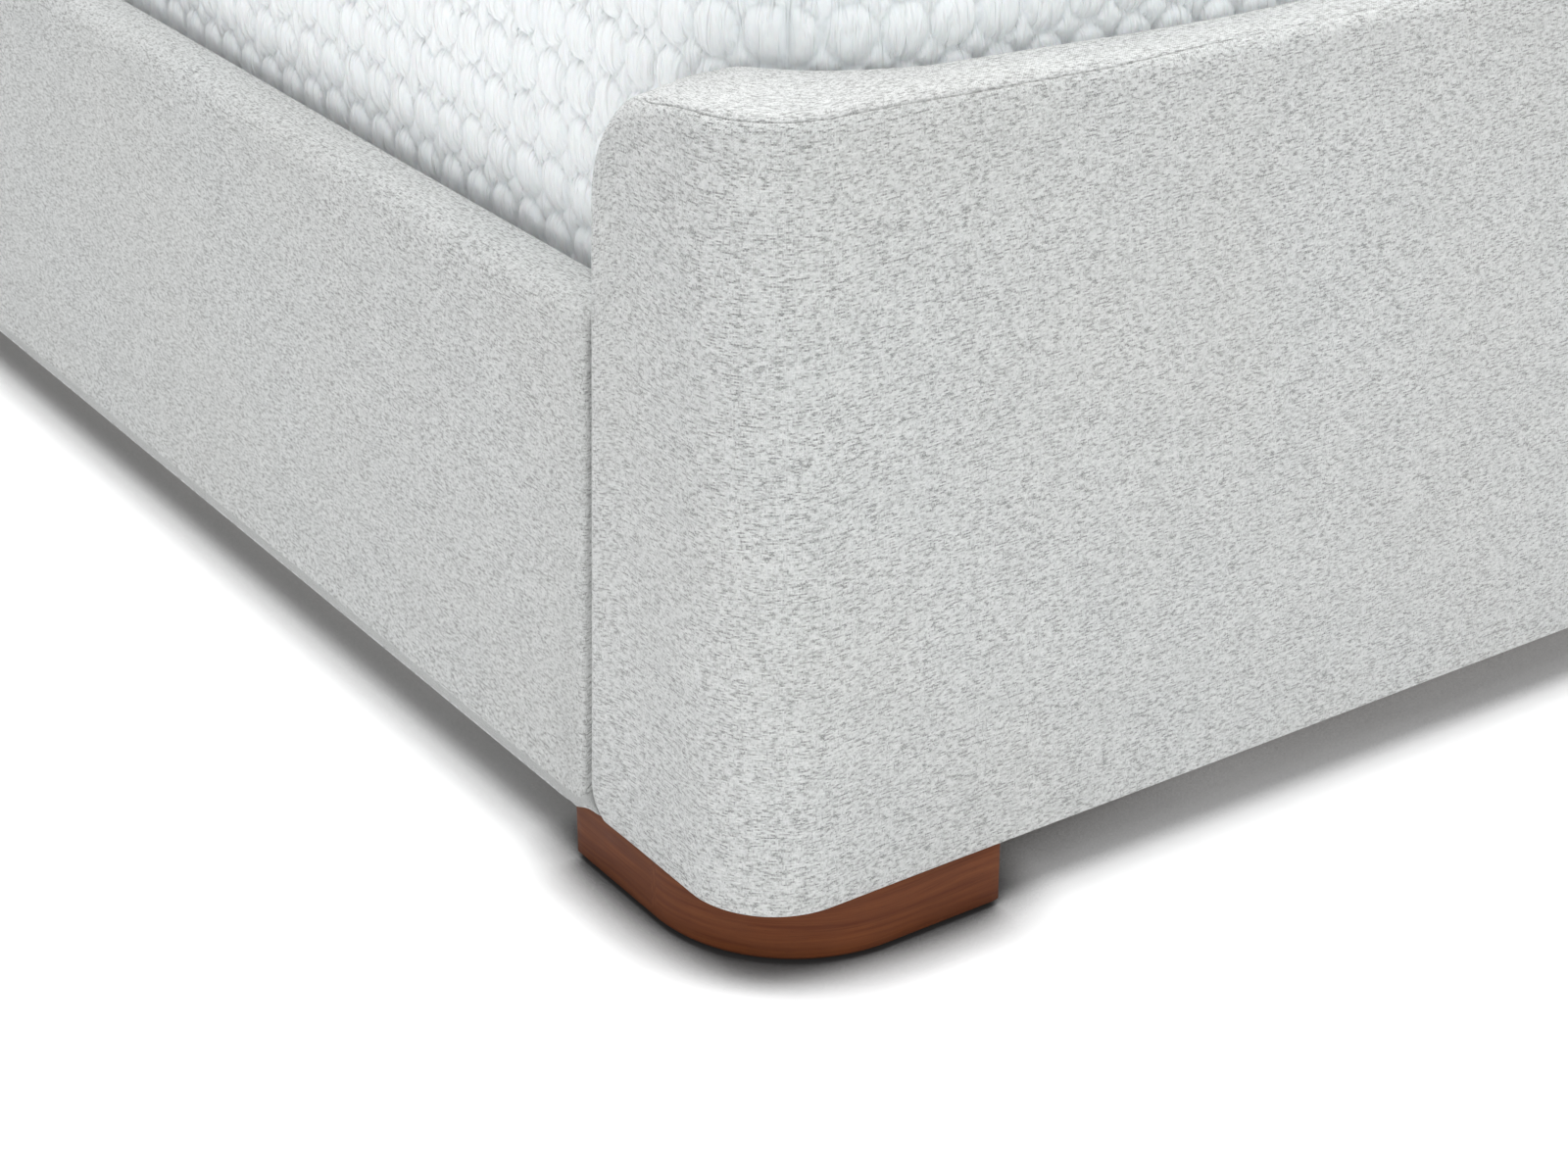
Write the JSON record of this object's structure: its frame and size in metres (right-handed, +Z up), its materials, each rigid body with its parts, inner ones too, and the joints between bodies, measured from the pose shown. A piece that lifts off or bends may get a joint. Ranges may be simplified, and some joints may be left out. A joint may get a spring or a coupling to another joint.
{
  "type": "upholstered sleigh bed",
  "caption": "Fabric-upholstered sleigh bed with a back-swept wrap-around headboard, a low wrap-around footboard, padded side rails, dark wood corner feet, a slatted deck and a quilted mattress.",
  "frame": {"origin": "on the floor, at the middle of the bed's overall length and width", "axes": "+Z up, +Y from the foot end towards the headboard, +X across the bed to the right of someone who stands at the foot end and faces the headboard"},
  "size_m": [1.66, 2.2992, 1.1607],
  "materials": {
    "upholstery": "matte",
    "foam": "matte",
    "pine": "matte",
    "plywood": "matte",
    "foot_wood": "satin",
    "steel": "satin",
    "felt": "matte",
    "webbing": "matte",
    "dust_cloth": "matte",
    "leveler_plastic": "matte",
    "ticking": "matte"
  },
  "bodies": {
    "frame": {"footboard_outer_cover": "upholstery", "footboard_inner_cover": "upholstery", "footboard_foam": "foam", "footboard_top_rail": "pine", "footboard_bottom_rail": "pine", "footboard_posts": "pine", "footboard_corner_blocks": "plywood", "headboard_outer_cover": "upholstery", "headboard_inner_cover": "upholstery", "headboard_foam": "foam", "headboard_top_rail": "plywood", "headboard_bottom_rail": "pine", "headboard_posts": "plywood", "headboard_corner_blocks": "plywood", "rail_cover_left": "upholstery", "rail_foam_left": "foam", "rail_board_left": "plywood", "ledger_left": "pine", "rail_cover_right": "upholstery", "rail_foam_right": "foam", "rail_board_right": "plywood", "ledger_right": "pine", "dust_covers": "dust_cloth", "end_cleats": "pine", "rail_bolts": "steel", "barrel_nuts": "steel", "foot_bolts": "steel", "foot_pads": "felt", "foot_front_left": "foot_wood", "foot_front_right": "foot_wood", "foot_rear_left": "foot_wood", "foot_rear_right": "foot_wood", "center_beam": "pine", "beam_hangers": "steel", "center_leg_1": "pine", "center_leg_2": "pine", "center_leg_3": "pine", "leg_inserts": "steel", "slat_1": "pine", "slat_2": "pine", "slat_3": "pine", "slat_4": "pine", "slat_5": "pine", "slat_6": "pine", "slat_7": "pine", "slat_8": "pine", "slat_9": "pine", "slat_10": "pine", "slat_11": "pine", "slat_12": "pine", "slat_straps": "webbing", "slat_screws": "steel"},
    "mattress": {"mattress_bottom_panel": "ticking", "mattress_core": "foam", "mattress_comfort_layer": "foam", "mattress_border": "ticking", "mattress_top_panel": "ticking"},
    "leveler_1": {"leveler_1": "leveler_plastic"},
    "leveler_2": {"leveler_2": "leveler_plastic"},
    "leveler_3": {"leveler_3": "leveler_plastic"}
  },
  "joints": [
    {"name": "mattress_lift", "type": "slide", "parent": "frame", "child": "mattress", "axis": [0, 0, 1], "range_m": [0, 0.3]},
    {"name": "leveler_1_travel", "type": "slide", "parent": "frame", "child": "leveler_1", "axis": [0, 0, -1], "range_m": [0, 0.012]},
    {"name": "leveler_2_travel", "type": "slide", "parent": "frame", "child": "leveler_2", "axis": [0, 0, -1], "range_m": [0, 0.012]},
    {"name": "leveler_3_travel", "type": "slide", "parent": "frame", "child": "leveler_3", "axis": [0, 0, -1], "range_m": [0, 0.012]}
  ]
}
